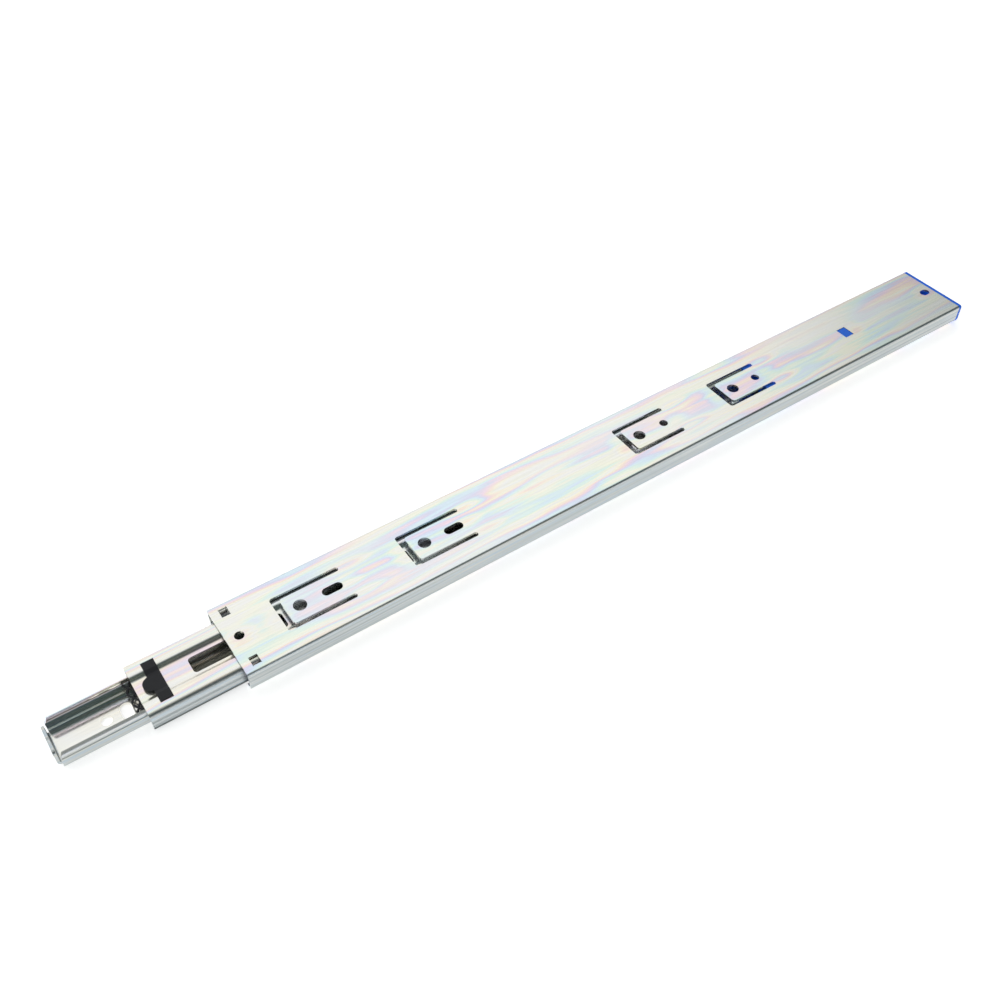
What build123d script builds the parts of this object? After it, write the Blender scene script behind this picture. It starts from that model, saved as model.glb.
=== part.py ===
from build123d import *

import os
from math import acos, atan2, cos, degrees, hypot, radians, sin, sqrt

# A full-extension, soft-closing drawer slide, drawn out a little way. Millimetres.
# X runs from the cabinet member's front edge to the rear, Y across the slide, and Z out of the
# cabinet member's mounting face, which is the plane Z = 0. The drawer's face is the lowest one.

# ---- driving sizes -------------------------------------------------------------------------------
slide_width = 42.0          # over the cabinet member's raceways
slide_depth = 12.7          # cabinet face to drawer face
sheet = 1.2                 # all three members are rolled from this
outer_ball_d = 4.76
inner_ball_d = 3.97
ball_gap = 0.10             # between a ball and its raceway
web_gap = 0.7               # between the cabinet web and the intermediate web

cabinet_length = 448.0
intermediate_length = 438.0
drawer_length = 446.0
end_plate = 2.0             # the closer's plate behind the cabinet member
intermediate_inset = 6.0    # closed, behind the cabinet member's front edge
intermediate_out = 47.0     # how far the intermediate member is drawn out as modelled
drawer_out = 32.0           # how far the drawer member is drawn out of the intermediate member
member_travel = 225.0       # each member's full travel
closing_travel = 45.0       # the soft closer pulls the drawer in over this

# ---- raceways, worked out from the balls and the overall section ---------------------------------
outer_race = outer_ball_d / 2 + ball_gap
inner_race = inner_ball_d / 2 + ball_gap
lip_setback = 0.7           # the cabinet member's lips stop this far short of the drawer face
lip_tail = 0.4
race_land = 0.15            # straight wall between two opposed raceways
outer_ball_y = slide_width / 2 - sheet - outer_race
outer_ball_z = -slide_depth + lip_setback + sheet + outer_race
web_top = -sheet - web_gap
inner_ball_z = web_top - sheet - inner_race
race_spacing = inner_race + sheet + outer_race + race_land
inner_ball_y = outer_ball_y - sqrt(race_spacing ** 2 - (outer_ball_z - inner_ball_z) ** 2)

# ---- cabinet member ------------------------------------------------------------------------------
corner_radius = 1.4
plate_corner = 3.4
cabinet_wrap = -95.0        # degrees, from beside the outer balls to under them
screw_hole_d = 6.3
small_hole_d = 4.5
front_hole_x = 6.0
grid = 32.0
first_screw_x = 35.0
tab_x = [first_screw_x + grid * step for step in (0, 2, 6, 8)]
front_tab_count = 2         # the front tabs carry a slot, the rear tabs a small hole
slot_length = 10.0
slot_width = 4.5
second_hole_ahead = 16.0    # from a tab's screw hole to its slot or small hole
tab_half_width = 7.8
cut_width = 2.55
cut_front = 10.3
tab_front = 6.6
front_cut_end = 23.6
rear_cut_end = 22.0
cut_radius = 1.5
boss_window_x = 376.0
boss_window = (6.0, 7.5)
end_hole_x = 442.5
end_hole = (6.0, 4.6)
stop_window_x = (4.0, 8.0)
stop_window_in = (8.2, 3.0)  # inside the walls' outer faces
stop_tongue_depth = 3.6
stop_tongue_in = 4.1
stop_tongue_gap = 0.2       # between the tongue and its window, at each end

# ---- intermediate member -------------------------------------------------------------------------
recess_depth = 2.1
recess_half = 6.8
recess_slope = 1.0
recess_bend = 2.4           # the recess is pressed in with soft edges
bend = 0.8
window_width = 8.7
window_length = 44.0
window_first = 24.0
window_pitch = 64.0
window_count = 4
window_radius = 1.6
closer_room = 20.5          # the rear cut-out starts this far ahead of the closer, closed
closer_side_room = 0.4
groove_wrap = 230.0         # degrees round the outer balls
catch_tab_y = (2.2, 4.2)
catch_tab_z = -9.0

# ---- drawer member -------------------------------------------------------------------------------
groove_depth = 0.68         # of the inner raceways, into the walls
drawer_bend = 1.8
drawer_wrap = 30.0          # degrees above the inner balls
flange_front = 1.8
wall_corner = (1.6, 4.0)     # cut off the walls' top front corners
front_tab_width = 16.4
front_tab_height = 8.5
front_tab_radius = 2.5
drawer_hole_d = 4.7
drawer_hole_x = [23.3, 151.3, 311.3]
drawer_slot = (5.0, 8.4)
drawer_slot_ahead = 8.7

# ---- ball cages ----------------------------------------------------------------------------------
cage_sheet = 0.6
cage_corner = 1.2
cage_clearance = 0.3
ball_pocket_gap = 0.05
outer_cage_length = 190.0
inner_cage_length = 180.0
outer_cage_open = 10.0      # its front end with the slide fully drawn out
inner_cage_closed = 120.0   # behind the intermediate member's front edge with the slide shut
balls_per_row = 12
cage_margin = 6.0

# ---- soft closer ---------------------------------------------------------------------------------
seat = 0.05                 # where one piece sits against the next
slide_fit = 0.2             # where one piece slides in another
carriage_gap = 0.5          # ahead of the cocked carriage
closer_top_half = 11.2
closer_top_thick = 2.0
closer_notch = 3.0          # half of it, keeps the last tab's small hole clear
notch_behind = 3.5
boss_below = 0.15           # the boss stops this far under the mounting face
closer_half = 8.5
closer_wall = 1.2
closer_floor_gap = 0.6      # above the drawer web
cover_thick = 0.9
front_wall = 2.0
plug_length = 1.6           # short of the drawer member when it is shut
post_d = 3.0
post_height = 3.2
seat_spare = 7.0            # from the seated carriage to the damper cylinder
post_slot_half = 2.2
pawl_room = 6.0             # behind the seated post, for the pawl's rear prong
carriage_ahead = 12.0
carriage_behind = 8.0
cylinder_d = 6.0
cylinder_bore = 5.0
cylinder_spare = 9.0        # of its length, for the piston and seal
cylinder_rear = 444.0
rod_d = 2.0
rod_reach = 6.0             # into the cylinder with the closer cocked
spring_d = 5.0
spring_wire = 0.7
side_offset = 3.6           # damper and spring either side of the centreline
spring_anchor_x = 438.5
seal_length = 3.0
piston_length = 2.6
cylinder_end = 2.0          # its closed end
anchor_pin_r = 1.2
anchor_stem_r = 0.8
anchor_stem = 2.0
buffer_edge = 0.3
carriage_top = 0.7          # thickness of the carriage over the pawl
carriage_front_wall = 1.0
carriage_rear_wall = 2.0
carriage_corner = 0.8
pawl_ahead = 9.0            # the pawl's pin, ahead of the post's seat
pawl_boss = 1.3
pawl_pin_r = 0.8
pawl_pin_short = 0.5        # at each end
pawl_half = 1.9
pawl_thin = 0.1             # the arm is this much thinner than the boss
prong = 1.6
prong_drop = 2.1
prong_places = (5.4, 11.6)  # behind the pin, one on each side of the post
post_collar = 0.9

# ---- release lever -------------------------------------------------------------------------------
lever_pivot_x = 277.0
lever_tip_x = 232.5
lever_tail = 15.0
lever_top_gap = 0.3         # below the intermediate member's catch tab
rivet_d = 3.0
rivet_head_d = 5.6
rivet_head = 0.7
rivet_round = 0.5
lever_float = 0.1           # above the drawer web and under the rivet's head
lever_boss_r = 3.6
lever_round = 0.4
lever_hook = (3.6, 1.7)     # length and height of the hook that rides over the catch tab
running = 0.05

# ---- clip and bumper on the intermediate member --------------------------------------------------
clip_x = (6.5, 12.2)
clip_half = 11.15
clip_rise = 0.45
clip_middle = 1.7
clip_bump_d = 7.6
clip_bump_out = 3.3
clip_leg = (1.2, 2.6)
clip_leg_y = 4.4
lattice_ahead = 3.5         # springy crossed strands in front of the member's edge
lattice_strand = 0.7
lattice_half = 8.7
lattice_cells = 3
lattice_thick = 0.9
bumper_plate = 1.4

# ---- places worked out from the sizes above ------------------------------------------------------
half_width = slide_width / 2
intermediate_front = intermediate_inset - intermediate_out
drawer_wall_half = inner_ball_y - inner_race + groove_depth
drawer_front = -intermediate_out - drawer_out
drawer_floor = -slide_depth + sheet
recess_top = web_top - recess_depth
web_under = web_top - sheet
recess_under = recess_top - sheet
closer_roof = -sheet - seat
closer_under = closer_roof - closer_top_thick
closer_floor = drawer_floor + closer_floor_gap
cover_top = closer_floor + cover_thick
closer_middle = (closer_under + cover_top) / 2
cylinder_front = cylinder_rear - closing_travel - rod_reach - cylinder_spare
post_seat_x = cylinder_front - carriage_behind - seat_spare
carriage_seat = post_seat_x - closing_travel
closer_front = carriage_seat - carriage_ahead - 2 * front_wall - carriage_gap
stop_window_y = (half_width - stop_window_in[0], half_width - stop_window_in[1])
stop_tongue_y = half_width - stop_tongue_in
last_hole_x = tab_x[-1] + second_hole_ahead


def turn_corner(centre, radius, start, end):
    """The corner of the two tangents that touch a circle at two angles in degrees."""
    half = radians(end - start) / 2
    middle = radians(start + end) / 2
    reach = radius / cos(half)
    return (centre[0] + reach * cos(middle), centre[1] + reach * sin(middle))


def on_circle(centre, radius, angle, along=0.0):
    """The point at an angle on a circle, carried along the tangent there."""
    a = radians(angle)
    x = centre[0] + radius * cos(a) - along * sin(a)
    y = centre[1] + radius * sin(a) + along * cos(a)
    return (x, y)


def span_box(x, y, z, mode=Mode.ADD):
    """A box between two places along each axis."""
    centre = ((x[0] + x[1]) / 2, (y[0] + y[1]) / 2, (z[0] + z[1]) / 2)
    with Locations(centre):
        Box(abs(x[1] - x[0]), abs(y[1] - y[0]), abs(z[1] - z[0]), mode=mode)


def span_cylinder(x, y, z, radius, mode=Mode.ADD):
    """A round bar along X between two places."""
    with Locations(((x[0] + x[1]) / 2, y, z)):
        Cylinder(radius, x[1] - x[0], rotation=(0, 90, 0), mode=mode)


outer_race_centre = (outer_ball_y, outer_ball_z)
inner_race_centre = (inner_ball_y, inner_ball_z)


def cabinet_section():
    """The web, the flat wall and the lobe that holds the outer balls from beside and below."""
    lobe = outer_race + sheet
    end = on_circle(outer_race_centre, lobe, cabinet_wrap)
    tail = on_circle(outer_race_centre, lobe, cabinet_wrap, -lip_tail)
    corners = [(0, 0), (half_width, 0), (half_width, outer_ball_z)]
    with BuildSketch() as section:
        with BuildLine() as surface:
            FilletPolyline(*corners, radius=corner_radius)
            CenterArc(outer_race_centre, lobe, 0, cabinet_wrap)
            Line(end, tail)
            offset(surface.wires()[0], amount=sheet, side=Side.RIGHT, closed=True)
        make_face()
        mirror(about=Plane.YZ)
    return section.sketch


def intermediate_section():
    """The recessed web, the lobe over the inner balls and the groove for the outer balls."""
    lobe = inner_race + sheet
    across = outer_ball_y - inner_ball_y
    down = outer_ball_z - inner_ball_z
    spacing = hypot(across, down)
    leave = degrees(atan2(down, across) + acos((lobe + outer_race) / spacing))
    corners = [
        (0, recess_top),
        (recess_half - recess_slope, recess_top),
        (recess_half + recess_slope, web_top),
        turn_corner(inner_race_centre, lobe, 90, leave),
        turn_corner(outer_race_centre, outer_race, 180 + leave, groove_wrap),
        on_circle(outer_race_centre, outer_race, groove_wrap, sheet / 4),
    ]
    with BuildSketch() as section:
        with BuildLine() as surface:
            FilletPolyline(*corners, radius=[recess_bend, recess_bend, lobe, outer_race])
            offset(surface.wires()[0], amount=sheet, side=Side.RIGHT, closed=True)
        make_face()
        mirror(about=Plane.YZ)
    return section.sketch


def drawer_section():
    """The web against the drawer and two walls with grooves for the inner balls."""
    half_groove = degrees(acos((inner_ball_y - drawer_wall_half) / inner_race))
    start = 180 + half_groove
    end = 180 - drawer_wrap
    low = on_circle(inner_race_centre, inner_race, start)
    corners = [(0, -slide_depth), (drawer_wall_half, -slide_depth), low]
    with BuildSketch() as section:
        with BuildLine() as surface:
            FilletPolyline(*corners, radius=drawer_bend)
            CenterArc(inner_race_centre, inner_race, start, end - start)
            offset(surface.wires()[0], amount=sheet, side=Side.LEFT, closed=True)
        make_face()
        mirror(about=Plane.YZ)
    return section.sketch


def tab_cut(hole_x, cut_end):
    """The C-shaped cut that frees a tab round a screw hole, open to the front."""
    outer_half = tab_half_width + cut_width
    with BuildSketch() as cut:
        with Locations((hole_x + (cut_end - cut_front) / 2, 0)):
            Rectangle(cut_end + cut_front, 2 * outer_half)
        with Locations((hole_x + (cut_end - tab_front) / 2, 0)):
            Rectangle(cut_end + tab_front, 2 * tab_half_width, mode=Mode.SUBTRACT)
        fillet(cut.vertices().group_by(Axis.X)[-1], radius=cut_width * 0.48)
        fillet(cut.vertices().group_by(Axis.X)[0], radius=cut_radius)
        tab_corners = cut.vertices().filter_by(lambda v: abs(v.X - hole_x + tab_front) < 0.01)
        fillet(tab_corners, radius=cut_radius)
    return cut.sketch


# ---- cabinet member ------------------------------------------------------------------------------
with BuildPart() as cabinet_member:
    with BuildSketch(Plane.YZ):
        add(cabinet_section())
    extrude(amount=cabinet_length)
    with BuildSketch():
        with Locations((front_hole_x, 0)):
            Circle(small_hole_d / 2)
        for index, x in enumerate(tab_x):
            is_front = index < front_tab_count
            add(tab_cut(x, front_cut_end if is_front else rear_cut_end))
            with Locations((x, 0)):
                Circle(screw_hole_d / 2)
            with Locations((x + second_hole_ahead, 0)):
                if is_front:
                    SlotOverall(slot_length, slot_width)
                else:
                    Circle(small_hole_d / 2)
        with Locations((boss_window_x, 0)):
            Rectangle(*boss_window)
        with Locations((end_hole_x, 0)):
            SlotOverall(*end_hole)
        stop_x = (stop_window_x[0] + stop_window_x[1]) / 2
        stop_y = (stop_window_y[0] + stop_window_y[1]) / 2
        with Locations((stop_x, stop_y), (stop_x, -stop_y)):
            Rectangle(stop_window_x[1] - stop_window_x[0], stop_window_y[1] - stop_window_y[0])
    extrude(amount=-2 * sheet, mode=Mode.SUBTRACT)
    with BuildSketch(Plane.YZ.offset(stop_window_x[0] + stop_tongue_gap)):
        with BuildLine() as tongue:
            FilletPolyline(
                (half_width - corner_radius, 0),
                (stop_tongue_y, 0),
                (stop_tongue_y, -stop_tongue_depth),
                radius=sheet + seat,
            )
            offset(tongue.wires()[0], amount=sheet, side=Side.LEFT, closed=True)
        make_face()
        mirror(about=Plane.YZ)
    extrude(amount=stop_window_x[1] - stop_window_x[0] - 2 * stop_tongue_gap)

# ---- intermediate member -------------------------------------------------------------------------
cutout_front = closer_front - intermediate_inset - closer_room
with BuildPart() as intermediate_member:
    with BuildSketch(Plane.YZ.offset(intermediate_front)):
        add(intermediate_section())
    extrude(amount=intermediate_length)
    with BuildSketch(Plane.XY.offset(web_top + sheet)):
        for index in range(window_count):
            start = intermediate_front + window_first + index * window_pitch
            with Locations((start + window_length / 2, 0)):
                RectangleRounded(window_length, window_width, window_radius)
        with Locations((intermediate_front + (clip_x[0] + clip_x[1]) / 2, clip_leg_y),
                       (intermediate_front + (clip_x[0] + clip_x[1]) / 2, -clip_leg_y)):
            Rectangle(clip_leg[1] + 2 * seat, clip_leg[0] + 2 * seat)
        cutout_length = intermediate_length - cutout_front + 2 * cut_radius
        with Locations((intermediate_front + cutout_front + cutout_length / 2, 0)):
            RectangleRounded(cutout_length, 2 * (closer_top_half + closer_side_room), cut_radius)
    extrude(amount=-2 * sheet - recess_depth - web_gap, mode=Mode.SUBTRACT)
    catch_x = intermediate_front + window_first
    span_box((catch_x - sheet, catch_x), catch_tab_y, (recess_top - sheet / 2, catch_tab_z))

# ---- drawer member -------------------------------------------------------------------------------
lever_x = drawer_front + lever_pivot_x
post_x = drawer_front + post_seat_x
with BuildPart() as drawer_member:
    with BuildSketch(Plane.YZ.offset(drawer_front + flange_front)):
        add(drawer_section())
    extrude(amount=drawer_length - flange_front)
    wall_front = drawer_front + flange_front
    wall_top = drawer_member.part.bounding_box().max.Z
    with BuildSketch(Plane.XZ.offset(-slide_width / 2)):
        with BuildLine():
            Polyline(
                (wall_front - seat, wall_top + seat),
                (wall_front + wall_corner[0], wall_top + seat),
                (wall_front - seat, wall_top - wall_corner[1]),
                close=True,
            )
        make_face()
    extrude(amount=slide_width, mode=Mode.SUBTRACT)
    with BuildSketch(Plane.XZ.offset(-front_tab_width / 2)):
        with BuildLine() as upturn:
            FilletPolyline(
                (drawer_front + flange_front + sheet, -slide_depth),
                (drawer_front, -slide_depth),
                (drawer_front, -slide_depth + front_tab_height),
                radius=drawer_bend,
            )
            offset(upturn.wires()[0], amount=sheet, side=Side.RIGHT, closed=True)
        make_face()
    extrude(amount=front_tab_width)
    tab_tops = edges().filter_by(Axis.X).group_by(Axis.X)[0]
    fillet(tab_tops.filter_by(lambda e: e.center().Z > drawer_floor + sheet), front_tab_radius)
    with BuildSketch(Plane.XY.offset(-slide_depth)):
        for x in drawer_hole_x:
            with Locations((drawer_front + x, 0)):
                Circle(drawer_hole_d / 2)
            with Locations((drawer_front + x + drawer_slot_ahead, 0)):
                SlotOverall(drawer_slot[1], drawer_slot[0], rotation=90)
        with Locations((lever_x, 0)):
            Circle(rivet_d / 2)
        with Locations((post_x, 0)):
            Circle(post_d / 2)
    extrude(amount=sheet * 1.5, mode=Mode.SUBTRACT)

# ---- ball cages and balls ------------------------------------------------------------------------
outer_cage_x = outer_cage_open + (member_travel - intermediate_out) / 2
inner_cage_x = intermediate_front + inner_cage_closed - drawer_out / 2
outer_cage_z = (outer_ball_z - outer_race + cage_clearance, web_top - cage_clearance)
inner_cage_z = (outer_ball_z - outer_race + cage_clearance, web_under - cage_clearance - sheet / 4)


def ball_places(start, length, ball_y, ball_z):
    """The centres of one row of balls along a cage."""
    pitch = (length - 2 * cage_margin) / (balls_per_row - 1)
    return [(start + cage_margin + step * pitch, ball_y, ball_z) for step in range(balls_per_row)]


def ball_cage(start, length, ball_y, ball_z, z_span, ball_radius):
    """A strip between two raceways with a round pocket for each ball."""
    with BuildPart() as cage:
        span_box((start, start + length), (ball_y - cage_sheet / 2, ball_y + cage_sheet / 2), z_span)
        fillet(cage.edges().filter_by(Axis.Y), radius=cage_corner)
        with Locations(*ball_places(start, length, ball_y, ball_z)):
            Cylinder(ball_radius + ball_pocket_gap, 4 * cage_sheet, rotation=(90, 0, 0),
                     mode=Mode.SUBTRACT)
    return cage


def ball_row(start, length, ball_y, ball_z, ball_radius):
    """One row of loose balls."""
    with BuildPart() as row:
        with Locations(*ball_places(start, length, ball_y, ball_z)):
            Sphere(ball_radius)
    return row


cages = {}
rows = {}
for side, sign in (("left", 1), ("right", -1)):
    outer = (outer_cage_x, outer_cage_length, sign * outer_ball_y, outer_ball_z)
    inner = (inner_cage_x, inner_cage_length, sign * inner_ball_y, inner_ball_z)
    cages["outer_cage_" + side] = ball_cage(*outer, outer_cage_z, outer_ball_d / 2)
    cages["inner_cage_" + side] = ball_cage(*inner, inner_cage_z, inner_ball_d / 2)
    rows["outer_balls_" + side] = ball_row(*outer, outer_ball_d / 2)
    rows["inner_balls_" + side] = ball_row(*inner, inner_ball_d / 2)

# ---- soft closer: housing and cover --------------------------------------------------------------
pocket_half = closer_half - closer_wall
slot_end = post_seat_x + pawl_room
with BuildPart() as closer_housing:
    span_box((closer_front, cabinet_length), (-closer_top_half, closer_top_half),
             (closer_under, closer_roof))
    fillet(closer_housing.edges().filter_by(Axis.Z).group_by(Axis.X)[0], radius=cut_radius)
    span_box((closer_front + front_wall, cabinet_length), (-closer_half, closer_half),
             (closer_floor, closer_under))
    plug_half = outer_ball_y - outer_race
    span_box((cabinet_length - plug_length, cabinet_length), (-plug_half, plug_half),
             (closer_floor, closer_roof))
    with BuildSketch(Plane.YZ.offset(cabinet_length)) as end_outline:
        with Locations((0, -(slide_depth - lip_setback) / 2)):
            plate = Rectangle(slide_width, slide_depth - lip_setback)
        fillet(plate.vertices().group_by(Axis.Y)[-1], radius=corner_radius)
        fillet(end_outline.vertices().group_by(Axis.Y)[0], radius=plate_corner)
    extrude(amount=end_plate)
    boss_x = boss_window[0] / 2 - slide_fit
    boss_y = boss_window[1] / 2 - slide_fit
    span_box((boss_window_x - boss_x, boss_window_x + boss_x), (-boss_y, boss_y),
             (closer_roof, -boss_below))
    span_box((last_hole_x - notch_behind, last_hole_x + notch_behind), (-closer_notch, closer_notch),
             (closer_under, closer_roof), Mode.SUBTRACT)
    pocket_x = (closer_front + 2 * front_wall, cylinder_rear + 2 * seat)
    span_box(pocket_x, (-pocket_half, pocket_half), (closer_floor, closer_under), Mode.SUBTRACT)
    span_box((closer_front, pocket_x[0]), (-post_slot_half, post_slot_half),
             (closer_floor, drawer_floor + post_height + slide_fit), Mode.SUBTRACT)
    with BuildSketch(Plane.XY.offset(closer_roof)):
        with Locations((end_hole_x, 0)):
            SlotOverall(end_hole[0] - 2 * slide_fit, end_hole[1] - 2 * slide_fit)
    extrude(amount=-closer_top_thick, mode=Mode.SUBTRACT)

with BuildPart() as housing_cover:
    span_box((pocket_x[0] + seat, pocket_x[1] - seat), (-pocket_half + seat, pocket_half - seat),
             (closer_floor, cover_top))
    span_box((pocket_x[0], slot_end), (-post_slot_half, post_slot_half), (closer_floor, cover_top),
             Mode.SUBTRACT)

with BuildPart() as rear_buffer:
    buffer_front = drawer_length + seat
    span_box((buffer_front, cabinet_length - slide_fit), (-closer_half, closer_half),
             (-slide_depth + lip_setback, closer_floor - seat))
    fillet(rear_buffer.edges().filter_by(Axis.X), radius=buffer_edge)
    span_box((cabinet_length - slide_fit, cabinet_length), (-closer_half / 2, closer_half / 2),
             (-slide_depth + lip_setback, closer_floor - seat))

# ---- soft closer: damper and spring --------------------------------------------------------------
rod_start = carriage_seat + carriage_behind / 3
rod_end = cylinder_front + rod_reach
carriage_rear = carriage_seat + carriage_behind
with BuildPart() as damper_cylinder:
    span_cylinder((cylinder_front, cylinder_rear), -side_offset, closer_middle, cylinder_d / 2)
    span_cylinder((cylinder_front - seat, cylinder_rear - cylinder_end), -side_offset, closer_middle,
                  cylinder_bore / 2, Mode.SUBTRACT)

with BuildPart() as damper_seal:
    span_cylinder((cylinder_front, cylinder_front + seal_length), -side_offset, closer_middle,
                  cylinder_bore / 2)
    span_cylinder((cylinder_front, cylinder_front + seal_length), -side_offset, closer_middle,
                  rod_d / 2 + running, Mode.SUBTRACT)

with BuildPart() as damper_rod:
    span_cylinder((rod_start, rod_end), -side_offset, closer_middle, rod_d / 2)

with BuildPart() as damper_piston:
    span_cylinder((rod_end - piston_length, rod_end), -side_offset, closer_middle,
                  cylinder_bore / 2 - running)
    span_cylinder((rod_end - piston_length, rod_end), -side_offset, closer_middle,
                  rod_d / 2, Mode.SUBTRACT)

with BuildPart() as closing_spring:
    span_cylinder((carriage_rear + slide_fit, spring_anchor_x), side_offset, closer_middle,
                  spring_d / 2)
    span_cylinder((carriage_rear, spring_anchor_x + seat), side_offset, closer_middle,
                  spring_d / 2 - spring_wire, Mode.SUBTRACT)

with BuildPart() as spring_anchor:
    anchor_pin_x = spring_anchor_x + anchor_stem
    with Locations((anchor_pin_x, side_offset, (cover_top + closer_under) / 2)):
        Cylinder(anchor_pin_r, closer_under - cover_top - 2 * seat)
    span_cylinder((spring_anchor_x + seat, anchor_pin_x), side_offset, closer_middle,
                  anchor_stem_r)

# ---- soft closer: carriage and catch pawl --------------------------------------------------------
carriage_roof = closer_under - slide_fit
carriage_floor = cover_top + slide_fit
cavity_roof = carriage_roof - carriage_top
pawl_x = carriage_seat - pawl_ahead
pawl_z = cavity_roof - pawl_boss - seat
with BuildPart() as carriage:
    carriage_half = pocket_half - slide_fit
    span_box((carriage_seat - carriage_ahead, carriage_rear), (-carriage_half, carriage_half),
             (carriage_floor, carriage_roof))
    fillet(carriage.edges().filter_by(Axis.Z), radius=carriage_corner)
    span_box((carriage_seat - carriage_ahead, carriage_rear), (-post_slot_half, post_slot_half),
             (carriage_floor, drawer_floor + post_height + slide_fit), Mode.SUBTRACT)
    cavity_front = carriage_seat - carriage_ahead + carriage_front_wall
    span_box((cavity_front, carriage_rear - carriage_rear_wall), (-post_slot_half, post_slot_half),
             (carriage_floor, cavity_roof), Mode.SUBTRACT)
    with Locations((pawl_x, 0, pawl_z)):
        Cylinder(pawl_pin_r, 2 * carriage_half, rotation=(90, 0, 0), mode=Mode.SUBTRACT)
    span_cylinder((rod_start, carriage_rear), -side_offset, closer_middle, rod_d / 2, Mode.SUBTRACT)

with BuildPart() as pawl_pin:
    with Locations((pawl_x, 0, pawl_z)):
        Cylinder(pawl_pin_r, 2 * (carriage_half - pawl_pin_short), rotation=(90, 0, 0))

with BuildPart() as catch_pawl:
    arm_end = pawl_x + prong_places[-1] + prong
    span_box((pawl_x, arm_end), (-pawl_half, pawl_half), (pawl_z, pawl_z + pawl_boss - pawl_thin))
    for place in prong_places:
        span_box((pawl_x + place, pawl_x + place + prong), (-pawl_half, pawl_half),
                 (pawl_z - prong_drop, pawl_z))
    with Locations((pawl_x, 0, pawl_z)):
        Cylinder(pawl_boss, 2 * pawl_half, rotation=(90, 0, 0))
        Cylinder(pawl_pin_r + running, 2 * pawl_half, rotation=(90, 0, 0), mode=Mode.SUBTRACT)

with BuildPart() as catch_post:
    with Locations((post_x, 0, drawer_floor + post_height)):
        Cylinder(post_d / 2, post_height + sheet, align=(Align.CENTER, Align.CENTER, Align.MAX))
    with Locations((post_x, 0, drawer_floor)):
        Cylinder(post_d / 2 + post_collar, closer_floor_gap / 2,
                 align=(Align.CENTER, Align.CENTER, Align.MIN))

# ---- release lever -------------------------------------------------------------------------------
lever_floor = drawer_floor + lever_float
lever_top = catch_tab_z - lever_top_gap
hook_x = drawer_front + member_travel + intermediate_inset + window_first + running * 4
with BuildPart() as release_lever:
    with BuildSketch(Plane.XY.offset(lever_floor)):
        with BuildLine():
            Polyline(
                (drawer_front + lever_tip_x, 0.2),
                (drawer_front + lever_tip_x, 4.6),
                (hook_x + 5, 5.2),
                (lever_x, 3.4),
                (lever_x + lever_tail, 6.2),
                (lever_x + lever_tail + 0.6, 5.2),
                (lever_x + 3, -2.6),
                (lever_x - 6, -3.2),
                (hook_x + 2, -1.6),
                close=True,
            )
        make_face()
    extrude(amount=lever_top - lever_floor)
    fillet(release_lever.edges().filter_by(Axis.Z), radius=lever_round)
    span_box((hook_x, hook_x + lever_hook[0]), (catch_tab_y[0] + 0.2, catch_tab_y[1] + 0.6),
             (lever_floor, lever_top + lever_hook[1]))
    with Locations((lever_x, 0, (lever_floor + lever_top) / 2)):
        Cylinder(lever_boss_r, lever_top - lever_floor)
        Cylinder(rivet_d / 2 + running, 2 * (lever_top - lever_floor), mode=Mode.SUBTRACT)

with BuildPart() as lever_rivet:
    with Locations((lever_x, 0, -slide_depth)):
        Cylinder(rivet_d / 2, lever_top + lever_float + slide_depth,
                 align=(Align.CENTER, Align.CENTER, Align.MIN))
    with Locations((lever_x, 0, lever_top + lever_float)):
        Cylinder(rivet_head_d / 2, rivet_head, align=(Align.CENTER, Align.CENTER, Align.MIN))
    fillet(lever_rivet.edges().filter_by(GeomType.CIRCLE).sort_by(Axis.Z)[-1], radius=rivet_round)

# ---- clip and bumper on the intermediate member --------------------------------------------------
clip_front = intermediate_front + clip_x[0]
clip_rear = intermediate_front + clip_x[1]
clip_centre = (clip_front + clip_rear) / 2
bumper_top = recess_under - seat
with BuildPart() as hold_in_clip:
    with BuildSketch(Plane.YZ.offset(clip_front)):
        with BuildLine():
            Polyline(
                (0, recess_top),
                (recess_half - recess_slope - recess_bend / 2, recess_top),
                (recess_half + recess_slope - bend / 2, web_top),
                (clip_half, web_top),
                (clip_half, web_top + clip_rise),
                (recess_half, web_top + clip_rise),
                (recess_half - 2 * recess_slope, recess_top + clip_middle),
                (0, recess_top + clip_middle),
                close=True,
            )
        make_face()
        mirror(about=Plane.YZ)
    extrude(amount=clip_x[1] - clip_x[0])
    with BuildSketch(Plane.XY.offset(recess_top)):
        with Locations((clip_front + clip_bump_d / 2 - clip_bump_out, 0)):
            Circle(clip_bump_d / 2)
    extrude(amount=clip_middle)
    for sign in (1, -1):
        leg_y = sorted((sign * (clip_leg_y - clip_leg[0] / 2), sign * (clip_leg_y + clip_leg[0] / 2)))
        span_box((clip_centre - clip_leg[1] / 2, clip_centre + clip_leg[1] / 2), leg_y,
                 (bumper_top - bumper_plate, recess_top + bend))

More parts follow.
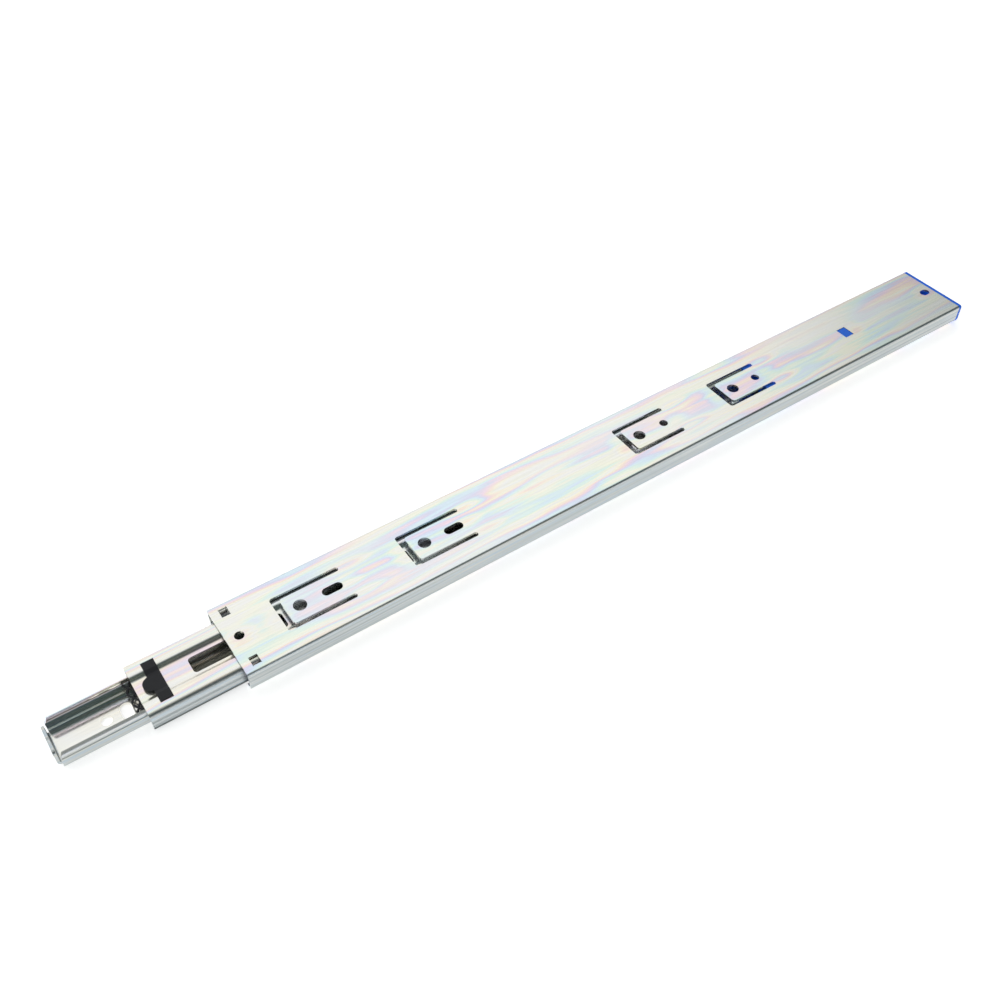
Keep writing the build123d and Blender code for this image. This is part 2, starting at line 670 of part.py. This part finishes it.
with BuildPart() as front_bumper:
    lattice_front = intermediate_front - lattice_ahead
    cell = 2 * lattice_half / lattice_cells
    strand_length = 2 * hypot(cell, lattice_ahead)
    strand_tilt = degrees(atan2(lattice_ahead, cell))
    with BuildSketch(Plane.XY.offset(bumper_top - lattice_thick)):
        for count in range(lattice_cells):
            centre_y = (count + 0.5) * cell - lattice_half
            with Locations((intermediate_front - lattice_ahead / 2, centre_y)):
                for tilt in (90 - strand_tilt, 90 + strand_tilt):
                    Rectangle(strand_length, lattice_strand, rotation=tilt)
        with Locations((intermediate_front - (lattice_ahead - lattice_strand) / 2, 0)):
            Rectangle(lattice_ahead + lattice_strand, 2 * lattice_half, mode=Mode.INTERSECT)
    extrude(amount=lattice_thick)
    span_box((intermediate_front, clip_rear), (-recess_half + bend, recess_half - bend),
             (bumper_top - bumper_plate, bumper_top))
    for sign in (1, -1):
        leg_y = sorted((sign * (clip_leg_y - clip_leg[0] / 2), sign * (clip_leg_y + clip_leg[0] / 2)))
        span_box((clip_centre - clip_leg[1] / 2, clip_centre + clip_leg[1] / 2), leg_y,
                 (bumper_top - bumper_plate, bumper_top), Mode.SUBTRACT)

# ---- files ---------------------------------------------------------------------------------------
pieces = {
    "cabinet_member": cabinet_member,
    "intermediate_member": intermediate_member,
    "drawer_member": drawer_member,
    **cages,
    **rows,
    "closer_housing": closer_housing,
    "housing_cover": housing_cover,
    "rear_buffer": rear_buffer,
    "damper_cylinder": damper_cylinder,
    "damper_seal": damper_seal,
    "damper_rod": damper_rod,
    "damper_piston": damper_piston,
    "closing_spring": closing_spring,
    "spring_anchor": spring_anchor,
    "carriage": carriage,
    "pawl_pin": pawl_pin,
    "catch_pawl": catch_pawl,
    "catch_post": catch_post,
    "release_lever": release_lever,
    "lever_rivet": lever_rivet,
    "hold_in_clip": hold_in_clip,
    "front_bumper": front_bumper,
}
os.makedirs("parts", exist_ok=True)
for name, piece in pieces.items():
    piece.part.label = name
    export_step(piece.part, "parts/" + name + ".step")
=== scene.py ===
import math

import bpy
import numpy as np
from mathutils import Matrix, Vector


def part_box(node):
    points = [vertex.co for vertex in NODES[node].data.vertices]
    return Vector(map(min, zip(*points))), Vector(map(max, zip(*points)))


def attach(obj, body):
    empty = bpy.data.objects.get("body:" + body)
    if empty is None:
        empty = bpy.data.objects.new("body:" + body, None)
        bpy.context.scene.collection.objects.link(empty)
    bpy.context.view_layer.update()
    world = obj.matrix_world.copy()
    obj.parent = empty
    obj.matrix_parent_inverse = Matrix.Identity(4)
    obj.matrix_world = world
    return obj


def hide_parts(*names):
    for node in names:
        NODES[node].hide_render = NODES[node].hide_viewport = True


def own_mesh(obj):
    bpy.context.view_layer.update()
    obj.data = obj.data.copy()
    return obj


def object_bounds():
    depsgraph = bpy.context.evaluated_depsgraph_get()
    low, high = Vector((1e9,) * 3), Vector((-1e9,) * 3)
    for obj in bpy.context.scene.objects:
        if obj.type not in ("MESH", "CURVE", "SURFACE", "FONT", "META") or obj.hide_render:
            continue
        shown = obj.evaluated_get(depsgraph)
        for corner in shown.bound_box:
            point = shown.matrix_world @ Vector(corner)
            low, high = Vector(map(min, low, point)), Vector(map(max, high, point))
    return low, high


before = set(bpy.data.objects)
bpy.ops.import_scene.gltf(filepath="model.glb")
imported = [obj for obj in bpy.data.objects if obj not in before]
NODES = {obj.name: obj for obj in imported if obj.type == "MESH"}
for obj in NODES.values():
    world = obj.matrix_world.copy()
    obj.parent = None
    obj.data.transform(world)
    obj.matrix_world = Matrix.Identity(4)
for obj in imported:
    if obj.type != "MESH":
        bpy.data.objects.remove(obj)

# A three-member ball-bearing drawer slide, lying on its drawer member with the mounting face up.
# X runs along the slide to the rear, Y across it, and Z up through the mounting face. Lengths are in
# metres, and the sizes below are in millimetres.

CAD_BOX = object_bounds()
MM = 0.001

# ---------------------------------------------------------------- sizes that the finishes follow

SCREW_HOLES = (35.0, 99.0, 227.0, 291.0)
CUT_AHEAD = 8.5             # each tab's cut, from its screw hole
CUT_BEHIND = 22.5
TAB_HALF = 8.6
FRONT_HOLE = 6.0
SQUARE_WINDOW = 376.0
END_HOLE = 442.5
CABINET_WEB = 20.6          # half widths of the webs, out to where the rolled sides begin
INTERMEDIATE_WEB = 14.6
DRAWER_WEB = 10.6
LEVER_WEB = 30.0            # wider than the lever, which has no rolled sides
SIDE_BLEND = 0.9
FOLD_REACH = 1.7
FOLD_BLEND = 0.4
SPRING_WIRE = 0.7
SPRING_TURNS = 52
CLOSED_TURNS = 3            # at each end of the spring


# ---------------------------------------------------------------- node helpers


def fill_ramp(node, stops):
    """Puts colours at places from 0 to 1 into a colour ramp, with straight blends between them."""
    bands = node.color_ramp
    while len(bands.elements) < len(stops):
        bands.elements.new(0.5)
    for element, (place, colour) in zip(bands.elements, stops):
        element.position = place
        element.color = (*colour, 1.0)


class Finish:
    """A material being wired up: its node tree, its shader and the coordinates that its patterns read."""

    def __init__(self, name, colour, metallic, roughness, **sockets):
        self.material = bpy.data.materials.new(name)
        self.material.use_nodes = True
        self.tree = self.material.node_tree
        self.shader = self.tree.nodes["Principled BSDF"]
        self.shader.inputs["Base Color"].default_value = (*colour, 1.0)
        self.shader.inputs["Metallic"].default_value = metallic
        self.shader.inputs["Roughness"].default_value = roughness
        for socket, value in sockets.items():
            self.shader.inputs[socket.replace("_", " ")].default_value = value
        self.place = self.add("ShaderNodeTexCoord").outputs["Object"]
        parted = self.add("ShaderNodeSeparateXYZ")
        self.tree.links.new(self.place, parted.inputs[0])
        self.along = parted.outputs["X"]
        self.across = parted.outputs["Y"]

    def add(self, kind, **settings):
        made = self.tree.nodes.new(kind)
        for key, value in settings.items():
            setattr(made, key, value)
        return made

    def join(self, source, target):
        if isinstance(source, bpy.types.NodeSocket):
            self.tree.links.new(source, target)
        else:
            target.default_value = source

    def scaled(self, factors, offset=(0.0, 0.0, 0.0)):
        """Object coordinates, moved by offset and multiplied axis by axis."""
        mapping = self.add("ShaderNodeMapping")
        mapping.inputs["Scale"].default_value = factors
        mapping.inputs["Location"].default_value = offset
        self.tree.links.new(self.place, mapping.inputs["Vector"])
        return mapping.outputs["Vector"]

    def noise(self, place, detail=2.0, distortion=0.0):
        made = self.add("ShaderNodeTexNoise")
        self.tree.links.new(place, made.inputs["Vector"])
        made.inputs["Scale"].default_value = 1.0
        made.inputs["Detail"].default_value = detail
        made.inputs["Distortion"].default_value = distortion
        return made.outputs["Fac"]

    def sum(self, operation, first, second=0.0, third=0.0, clamp=False):
        made = self.add("ShaderNodeMath", operation=operation, use_clamp=clamp)
        for socket, value in zip(made.inputs, (first, second, third)):
            self.join(value, socket)
        return made.outputs[0]

    def spread(self, value, low, high, to_low=0.0, to_high=1.0):
        """value, stretched so that low gives to_low and high gives to_high, and held between them."""
        made = self.add("ShaderNodeMapRange", interpolation_type="SMOOTHSTEP")
        for socket, number in zip(made.inputs, (value, low, high, to_low, to_high)):
            self.join(number, socket)
        return made.outputs[0]

    def ramp(self, value, stops):
        made = self.add("ShaderNodeValToRGB")
        fill_ramp(made, stops)
        self.tree.links.new(value, made.inputs["Fac"])
        return made.outputs["Color"]

    def mix(self, amount, first, second, blend="MIX"):
        made = self.add("ShaderNodeMix", data_type="RGBA", blend_type=blend)
        for socket, value in zip(
            (made.inputs[0], made.inputs[6], made.inputs[7]), (amount, first, second)
        ):
            self.join(value, socket)
        return made.outputs[2]

    def bump(self, height, distance, strength=1.0, onto=None):
        made = self.add("ShaderNodeBump")
        made.inputs["Strength"].default_value = strength
        made.inputs["Distance"].default_value = distance
        self.tree.links.new(height, made.inputs["Height"])
        if onto is not None:
            self.tree.links.new(onto, made.inputs["Normal"])
        return made.outputs["Normal"]

    def colour(self, source):
        self.tree.links.new(source, self.shader.inputs["Base Color"])

    def rough(self, source):
        self.tree.links.new(source, self.shader.inputs["Roughness"])

    def relief(self, source):
        self.tree.links.new(source, self.shader.inputs["Normal"])


# ---------------------------------------------------------------- zinc plate with its passivated film

WHITE_FILM = (0.89, 0.895, 0.88)
FILM_TINTS = (
    (0.00, (0.90, 0.90, 0.88)),
    (0.14, (0.95, 0.90, 0.74)),
    (0.25, (0.95, 0.80, 0.72)),
    (0.36, (0.90, 0.73, 0.84)),
    (0.48, (0.72, 0.74, 0.91)),
    (0.60, (0.71, 0.85, 0.95)),
    (0.72, (0.76, 0.91, 0.84)),
    (0.86, (0.92, 0.92, 0.78)),
    (1.00, (0.90, 0.90, 0.88)),
)
ZINC_METAL = 0.93
WEB_ROUGHNESS = 0.24
SIDE_ROUGHNESS = 0.36
# Tints for the rolled sides: the streaks are film, and the grey, darker than the web, is painted shade.
SHADED_SIDE_TINTS = (
    (0.34, (0.42, 0.46, 0.47)),
    (0.42, (0.66, 0.67, 0.65)),
    (0.49, (0.47, 0.56, 0.63)),
    (0.56, (0.69, 0.68, 0.63)),
    (0.64, (0.48, 0.53, 0.54)),
)

# How fine each pattern is along X, Y and Z. A large number against a small one draws it out along X.
DRIFT = (9.0, 60.0, 60.0)
CURL = (30.0, 120.0, 120.0)
BROAD_BANDS = (7.0, 62.0, 62.0)
FINE_BANDS = (16.0, 260.0, 260.0)
PATCHES = (11.0, 34.0, 34.0)
SIDE_STREAKS = (5.0, 600.0, 900.0)
ROLLING_LINES = (22.0, 1500.0, 1500.0)
ZINC_GRAIN = (700.0, 700.0, 700.0)
WAVES = (14.0, 90.0, 90.0)

# What each pattern adds to the film's thickness, where 1 takes it once through all its tints.
BROAD_RISE = 3.0
FINE_RISE = 0.85
CURL_RISE = 0.5
EDGE_RISE = 0.9
EDGE_START = 0.62           # share of the web's half width


def blot(finish, centre, reach):
    """Falls from 1 at the centre to 0 at the edge of an ellipse of half axes a and b on X and Y. It is
    one less (x/a) squared less (y/b) squared, held above 0 and then squared."""
    a, b = reach[0] * MM, reach[1] * MM
    x0, y0 = centre[0] * MM, centre[1] * MM
    placed = finish.scaled((1 / a, 1 / b, 0.0), (-x0 / a, -y0 / b, 0.0))
    squared = finish.add("ShaderNodeVectorMath", operation="DOT_PRODUCT")
    finish.tree.links.new(placed, squared.inputs[0])
    finish.tree.links.new(placed, squared.inputs[1])
    height = finish.sum("SUBTRACT", 1.0, squared.outputs["Value"], clamp=True)
    return finish.sum("MULTIPLY", height, height)


def side_share(finish, half_width):
    """1 on the rolled sides, which lie further from the middle than half_width, and 0 on the web."""
    away = finish.sum("ABSOLUTE", finish.across)
    return finish.spread(away, (half_width - SIDE_BLEND) * MM, half_width * MM)


def fold_share(finish, front):
    """1 on a tab folded up at the member's front edge, and 0 a little behind the fold."""
    end = front + FOLD_REACH * MM
    behind = finish.spread(finish.along, end, front + (FOLD_REACH + FOLD_BLEND) * MM)
    return finish.sum("SUBTRACT", 1.0, behind)


def zinc_plate(
    name, half_width, blots=(), film=1.0, seed=0.0, roughness=WEB_ROUGHNESS, fold_front=None
):
    """Bright zinc under a thin passivated film. The film's thickness is long noise drawn out along X,
    plus a rise round each blot, and its tint runs through the pale interference colours as that
    thickness grows. The rolled sides and a front fold take streaked tints. Their streaks are film, and their
    grey, darker than the web, is painted shade."""
    plate = Finish(name, WHITE_FILM, ZINC_METAL, roughness)
    drift = plate.noise(plate.scaled(DRIFT, (seed, seed, 0.0)), detail=1.0)
    curl = plate.noise(plate.scaled(CURL, (seed, 0.3, seed)), detail=1.0)
    broad = plate.noise(plate.scaled(BROAD_BANDS, (seed, 0.7, seed)), distortion=0.6)
    fine = plate.noise(plate.scaled(FINE_BANDS, (seed, 1.1, seed)), distortion=0.4)
    thickness = plate.sum("MULTIPLY_ADD", broad, BROAD_RISE, drift)
    thickness = plate.sum("MULTIPLY_ADD", fine, FINE_RISE, thickness)
    thickness = plate.sum("MULTIPLY_ADD", curl, CURL_RISE, thickness)
    for centre, reach, gain in blots:
        thickness = plate.sum("MULTIPLY_ADD", blot(plate, centre, reach), gain, thickness)
    away = plate.sum("ABSOLUTE", plate.across)
    edge = plate.spread(away, half_width * EDGE_START * MM, half_width * MM)
    thickness = plate.sum("MULTIPLY_ADD", edge, EDGE_RISE, thickness)
    phase = plate.sum("FRACT", thickness)
    tint = plate.ramp(phase, FILM_TINTS)
    patchy = plate.noise(plate.scaled(PATCHES, (seed, 2.1, seed)), detail=1.0)
    amount = plate.spread(patchy, 0.30, 0.62, 0.35 * film, film)
    tinted = plate.mix(amount, (*WHITE_FILM, 1.0), tint)
    # Painted shade: the rolled sides take darker grey streaked tints than the web.
    streaks = plate.noise(plate.scaled(SIDE_STREAKS, (seed, 0.0, 4.4)))
    sides = plate.ramp(streaks, SHADED_SIDE_TINTS)
    painted_shade_side_share = side_share(plate, half_width)
    # A front fold takes the same painted shade as the sides.
    if fold_front is not None:
        painted_shade_side_share = plate.sum("MAXIMUM", painted_shade_side_share, fold_share(plate, fold_front))
    tinted = plate.mix(painted_shade_side_share, tinted, sides)
    rolled = plate.noise(plate.scaled(ROLLING_LINES))
    worn = plate.spread(rolled, 0.3, 0.7, 0.94, 1.0)
    lined = plate.add("ShaderNodeCombineColor")
    for socket in lined.inputs:
        plate.tree.links.new(worn, socket)
    plate.colour(plate.mix(1.0, tinted, lined.outputs[0], "MULTIPLY"))
    grain = plate.noise(plate.scaled(ZINC_GRAIN))
    dulled = plate.sum("MULTIPLY_ADD", painted_shade_side_share, SIDE_ROUGHNESS - roughness, roughness - 0.08)
    plate.rough(plate.sum("MULTIPLY_ADD", plate.sum("ADD", grain, rolled), 0.08, dulled))
    waves = plate.noise(plate.scaled(WAVES), detail=1.0)
    wavy = plate.bump(waves, 0.0002, 0.35)
    plate.relief(plate.bump(rolled, 0.00001, 0.5, wavy))
    return plate.material


def cabinet_blots():
    """Rises of thicker film, each with its centre, its half axes and its height: a tongue behind each
    of a tab's two slots, one at each end of the tab, and one at each small hole and at the square window."""
    tongue = (17.0, 4.0)
    tab_root = (11.0, 6.0)
    tab_tip = (9.0, 12.0)
    round_hole = (11.0, 8.0)
    spots = []
    for screw in SCREW_HOLES:
        start = screw - CUT_AHEAD
        end = screw + CUT_BEHIND
        for side in (-1, 1):
            spots.append(((end + 5, side * TAB_HALF), tongue, 0.9))
        spots.append(((end + 1, 0.0), tab_root, 0.45))
        spots.append(((start - 3, 0.0), tab_tip, 0.4))
    for place in (FRONT_HOLE, END_HOLE, SQUARE_WINDOW + 6):
        spots.append(((place, 0.0), round_hole, 0.6))
    return spots


# ---------------------------------------------------------------- the other finishes


def rolled_steel(name, colour, roughness, seed=0.0):
    """Plain steel strip or wire: fine lines along X in its tint, its gloss and its relief."""
    steel = Finish(name, colour, 1.0, roughness)
    lines = steel.noise(steel.scaled((30.0, 1800.0, 1800.0), (seed, seed, 0.0)), detail=3.0)
    clouds = steel.noise(steel.scaled((60.0, 90.0, 90.0), (seed, 0.0, seed)))
    dark = tuple(channel * 0.72 for channel in colour)
    shade = steel.sum("MULTIPLY_ADD", clouds, 0.5, steel.sum("MULTIPLY", lines, 0.5))
    steel.colour(steel.ramp(shade, ((0.30, dark), (0.62, colour))))
    steel.rough(steel.spread(lines, 0.3, 0.7, roughness - 0.07, roughness + 0.09))
    steel.relief(steel.bump(lines, 0.00002, 0.4))
    return steel.material


def polished_balls(name):
    """Hardened bearing balls, mirror bright, dulled here and there by a trace of grease."""
    ball = Finish(name, (0.86, 0.87, 0.88), 1.0, 0.08)
    smear = ball.noise(ball.scaled((420.0, 420.0, 420.0)), detail=3.0)
    ball.rough(ball.spread(smear, 0.42, 0.68, 0.06, 0.24))
    ball.colour(ball.ramp(smear, ((0.4, (0.88, 0.885, 0.89)), (0.7, (0.74, 0.74, 0.70)))))
    return ball.material


def moulded(name, colour, roughness, grain=900.0, depth=0.00002, shade=0.14, **sockets):
    """Moulded plastic or rubber: a spark-eroded grain in its relief, and a slow change of tint and gloss.
    shade is how far the tint changes, and depth is the grain's, in metres."""
    plastic = Finish(name, colour, 0.0, roughness, **sockets)
    speck = plastic.noise(plastic.scaled((grain, grain, grain)), detail=3.0)
    flow = plastic.noise(plastic.scaled((90.0, 140.0, 140.0)), distortion=0.8)
    low = tuple(channel * (1 - shade) for channel in colour)
    high = tuple(min(1.0, channel * (1 + shade)) for channel in colour)
    blend = plastic.sum("MULTIPLY_ADD", flow, 0.7, plastic.sum("MULTIPLY", speck, 0.3))
    plastic.colour(plastic.ramp(blend, ((0.32, low), (0.66, high))))
    plastic.rough(plastic.spread(speck, 0.3, 0.7, roughness - 0.05, roughness + 0.07))
    plastic.relief(plastic.bump(speck, depth, 0.6))
    return plastic.material


def pale_floor(name):
    """A plain white sweep, lit a little from within so that it stays even right up to the slide."""
    floor = Finish(name, (0.93, 0.93, 0.93), 0.0, 0.85)
    floor.shader.inputs["Emission Color"].default_value = (1.0, 1.0, 1.0, 1.0)
    floor.shader.inputs["Emission Strength"].default_value = FLOOR_GLOW
    mottle = floor.noise(floor.scaled((3.0, 3.0, 3.0)))
    floor.colour(floor.ramp(mottle, ((0.3, (0.92, 0.92, 0.92)), (0.7, (0.94, 0.94, 0.94)))))
    return floor.material


# ---------------------------------------------------------------- putting the finishes on


def finish_nodes(material, *names):
    """Gives every material slot of those CAD nodes the one finish."""
    for name in names:
        for slot in NODES[name].material_slots:
            slot.material = material


drawer_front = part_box("drawer_member")[0].x
finish_nodes(zinc_plate("cabinet zinc", CABINET_WEB, cabinet_blots()), "cabinet_member")
finish_nodes(
    zinc_plate("intermediate zinc", INTERMEDIATE_WEB, film=0.75, seed=3.7),
    "intermediate_member",
)
finish_nodes(
    zinc_plate(
        "drawer zinc", DRAWER_WEB, film=0.9, seed=7.9, roughness=0.15, fold_front=drawer_front
    ),
    "drawer_member",
)
finish_nodes(
    zinc_plate("lever zinc", LEVER_WEB, film=0.6, seed=11.3),
    "release_lever", "catch_post",
)
finish_nodes(
    rolled_steel("cage strip", (0.62, 0.64, 0.66), 0.30),
    "outer_cage_left", "outer_cage_right", "inner_cage_left", "inner_cage_right",
)
finish_nodes(
    polished_balls("bearing balls"),
    "outer_balls_left", "outer_balls_right", "inner_balls_left", "inner_balls_right",
)
finish_nodes(
    rolled_steel("drawn pin", (0.66, 0.67, 0.69), 0.26, 2.0),
    "pawl_pin", "lever_rivet", "damper_rod", "spring_anchor",
)
finish_nodes(
    moulded("closer blue", (0.02, 0.17, 0.86), 0.42, 700.0, Specular_IOR_Level=0.25),
    "closer_housing", "housing_cover",
)
finish_nodes(
    moulded("clip black", (0.018, 0.019, 0.023), 0.6, 1400.0, Specular_IOR_Level=0.3),
    "hold_in_clip", "front_bumper",
)
finish_nodes(
    moulded("buffer rubber", (0.03, 0.03, 0.03), 0.72, 500.0, 0.00004),
    "rear_buffer", "damper_seal",
)
finish_nodes(
    moulded("damper grey", (0.30, 0.31, 0.33), 0.42),
    "damper_cylinder", "damper_piston",
)
finish_nodes(
    moulded("carriage acetal", (0.78, 0.78, 0.75), 0.40, 1100.0, shade=0.06),
    "carriage", "catch_pawl",
)


# ---------------------------------------------------------------- the closing spring


def wound_spring(start, end, centre, outer_radius, wire, turns, end_turns, sides=8, steps=20):
    """A compression spring along X. Its centre line goes round a circle, R cos a across and R sin a up,
    while x climbs by one wire diameter a turn in the closed turns at each end and evenly between them. A
    ring of the wire's radius is carried along that line."""
    radius = outer_radius - wire / 2
    angle = np.linspace(0.0, 2 * np.pi * turns, turns * steps + 1)
    turn = angle / (2 * np.pi)
    closed = end_turns * wire
    open_pitch = (end - start - wire - 2 * closed) / (turns - 2 * end_turns)
    rise = np.minimum(turn, end_turns) * wire
    rise += np.clip(turn - end_turns, 0, turns - 2 * end_turns) * open_pitch
    rise += np.clip(turn - (turns - end_turns), 0, None) * wire
    line = np.stack([
        start + wire / 2 + rise,
        centre[0] + radius * np.cos(angle),
        centre[1] + radius * np.sin(angle),
    ], -1)
    outward = np.stack([np.zeros_like(angle), np.cos(angle), np.sin(angle)], -1)
    along = np.gradient(line, axis=0)
    along /= np.linalg.norm(along, axis=1, keepdims=True)
    across = np.cross(along, outward)
    ring = np.linspace(0.0, 2 * np.pi, sides, endpoint=False)
    out_part = np.cos(ring)[None, :, None] * outward[:, None]
    side_part = np.sin(ring)[None, :, None] * across[:, None]
    points = (line[:, None] + wire / 2 * (out_part + side_part)).reshape(-1, 3)
    row, column = np.meshgrid(np.arange(len(angle) - 1), np.arange(sides), indexing="ij")
    here = row * sides + column
    beside = row * sides + (column + 1) % sides
    quads = np.stack([here, beside, beside + sides, here + sides], -1).reshape(-1, 4)
    first_cap = list(range(sides))[::-1]
    last_cap = list(range(len(points) - sides, len(points)))
    return points, quads.tolist() + [first_cap, last_cap]


def piece_from(name, points, faces, material, body):
    """A smooth-shaded mesh object at the origin, which rides on a CAD body."""
    mesh = bpy.data.meshes.new(name)
    mesh.from_pydata(points.tolist(), [], faces)
    mesh.materials.append(material)
    mesh.shade_smooth()
    made = bpy.data.objects.new(name, mesh)
    bpy.context.scene.collection.objects.link(made)
    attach(made, body)
    return made


spring_low, spring_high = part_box("closing_spring")
spring_middle = (spring_low + spring_high) / 2
coil_points, coil_faces = wound_spring(
    spring_low.x, spring_high.x, (spring_middle.y, spring_middle.z),
    (spring_high.y - spring_low.y) / 2, SPRING_WIRE * MM, SPRING_TURNS, CLOSED_TURNS,
)
spring_coil = piece_from(
    "closing_spring_coil", coil_points, coil_faces,
    rolled_steel("spring wire", (0.60, 0.61, 0.62), 0.28, 5.0), "cabinet",
)
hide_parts("closing_spring")
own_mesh(spring_coil)


# ---------------------------------------------------------------- floor, light and camera

FLOOR_HALF = 6.0
FLOOR_GLOW = 0.58
CAMERA_PLACE = (-0.05939, -0.29236, 0.37465)
CAMERA_FORWARD = (0.39077, 0.56948, -0.72319)
CAMERA_ROLL = -0.10
CAMERA_LENS = 39.016

# Each light's name, place, target, width, height and power in watts.
SOFT_BOXES = (
    ("front strip", (-0.15, -1.75, 0.45), (0.1, 0.0, 0.0), 1.6, 0.2, 2.5),
    ("far softbox", (0.3, 1.0, 1.7), (0.2, 0.0, 0.0), 3.0, 1.8, 1.2),
)

# The direction of the ceiling's middle, and the sky's brightness at cosines from it.
CEILING_MIDDLE = (-0.309, 0.722, 0.619)
SKY_STEPS = (
    (-0.60, (0.38, 0.40, 0.40)),
    (-0.30, (0.035, 0.055, 0.052)),
    (0.10, (0.035, 0.055, 0.052)),
    (0.30, (0.28, 0.30, 0.30)),
    (0.42, (0.53, 0.56, 0.56)),
    (0.46, (0.66, 0.67, 0.66)),
    (0.51, (0.88, 0.88, 0.87)),
    (0.60, (0.96, 0.96, 0.95)),
    (0.75, (0.98, 0.98, 0.97)),
    (1.00, (0.95, 0.95, 0.94)),
)


def flat_floor(name, half_width, height, material):
    """One square of floor, centred under the slide."""
    middle = (CAD_BOX[0] + CAD_BOX[1]) / 2
    signs = ((-1, -1), (1, -1), (1, 1), (-1, 1))
    corners = [(middle.x + x * half_width, middle.y + y * half_width, height) for x, y in signs]
    mesh = bpy.data.meshes.new(name)
    mesh.from_pydata(corners, [], [(0, 1, 2, 3)])
    mesh.materials.append(material)
    made = bpy.data.objects.new(name, mesh)
    bpy.context.scene.collection.objects.link(made)


def soft_box(name, place, target, width, height, power):
    """An area light at a place, turned to face a target."""
    lamp = bpy.data.lights.new(name, "AREA")
    lamp.shape = "RECTANGLE"
    lamp.size = width
    lamp.size_y = height
    lamp.energy = power
    made = bpy.data.objects.new(name, lamp)
    made.location = place
    made.rotation_euler = (Vector(target) - Vector(place)).to_track_quat("-Z", "Y").to_euler()
    bpy.context.scene.collection.objects.link(made)


def studio_sky():
    """A bright ceiling over the far side of the slide, which fades to a dark room behind the camera. Its
    brightness follows the cosine between the direction looked in and the ceiling's middle. The camera
    itself sees plain white."""
    world = bpy.data.worlds.new("studio")
    bpy.context.scene.world = world
    world.use_nodes = True
    tree = world.node_tree
    back = tree.nodes["Background"]
    heading = tree.nodes.new("ShaderNodeTexCoord")
    slope = tree.nodes.new("ShaderNodeVectorMath")
    slope.operation = "DOT_PRODUCT"
    slope.inputs[1].default_value = CEILING_MIDDLE
    tree.links.new(heading.outputs["Generated"], slope.inputs[0])
    share = tree.nodes.new("ShaderNodeMapRange")
    share.inputs["From Min"].default_value = -1.0
    share.inputs["From Max"].default_value = 1.0
    tree.links.new(slope.outputs["Value"], share.inputs["Value"])
    fade = tree.nodes.new("ShaderNodeValToRGB")
    fill_ramp(fade, [((cosine + 1) / 2, colour) for cosine, colour in SKY_STEPS])
    tree.links.new(share.outputs["Result"], fade.inputs["Fac"])
    seen = tree.nodes.new("ShaderNodeLightPath")
    plain = tree.nodes.new("ShaderNodeMix")
    plain.data_type = "RGBA"
    tree.links.new(seen.outputs["Is Camera Ray"], plain.inputs[0])
    tree.links.new(fade.outputs["Color"], plain.inputs[6])
    plain.inputs[7].default_value = (1.0, 1.0, 1.0, 1.0)
    tree.links.new(plain.outputs[2], back.inputs["Color"])
    back.inputs["Strength"].default_value = 1.0


def aim_camera(place, forward, roll_degrees, lens):
    """A camera at a place that looks along forward, rolled about that line."""
    forward = Vector(forward).normalized()
    level = forward.cross(Vector((0, 0, 1))).normalized()
    upright = level.cross(forward)
    roll = math.radians(roll_degrees)
    right = level * math.cos(roll) + upright * math.sin(roll)
    up = upright * math.cos(roll) - level * math.sin(roll)
    lens_data = bpy.data.cameras.new("camera")
    lens_data.lens = lens
    lens_data.sensor_width = 36.0
    lens_data.clip_start = 0.01
    lens_data.clip_end = 50.0
    lens_data.dof.use_dof = False
    made = bpy.data.objects.new("camera", lens_data)
    turned = Matrix((right, up, -forward)).transposed().to_4x4()
    turned.translation = Vector(place)
    made.matrix_world = turned
    bpy.context.scene.collection.objects.link(made)
    bpy.context.scene.camera = made


flat_floor("studio_floor", FLOOR_HALF, CAD_BOX[0].z, pale_floor("floor white"))
studio_sky()
for light in SOFT_BOXES:
    soft_box(*light)
aim_camera(CAMERA_PLACE, CAMERA_FORWARD, CAMERA_ROLL, CAMERA_LENS)
bpy.context.scene.view_settings.view_transform = "Standard"
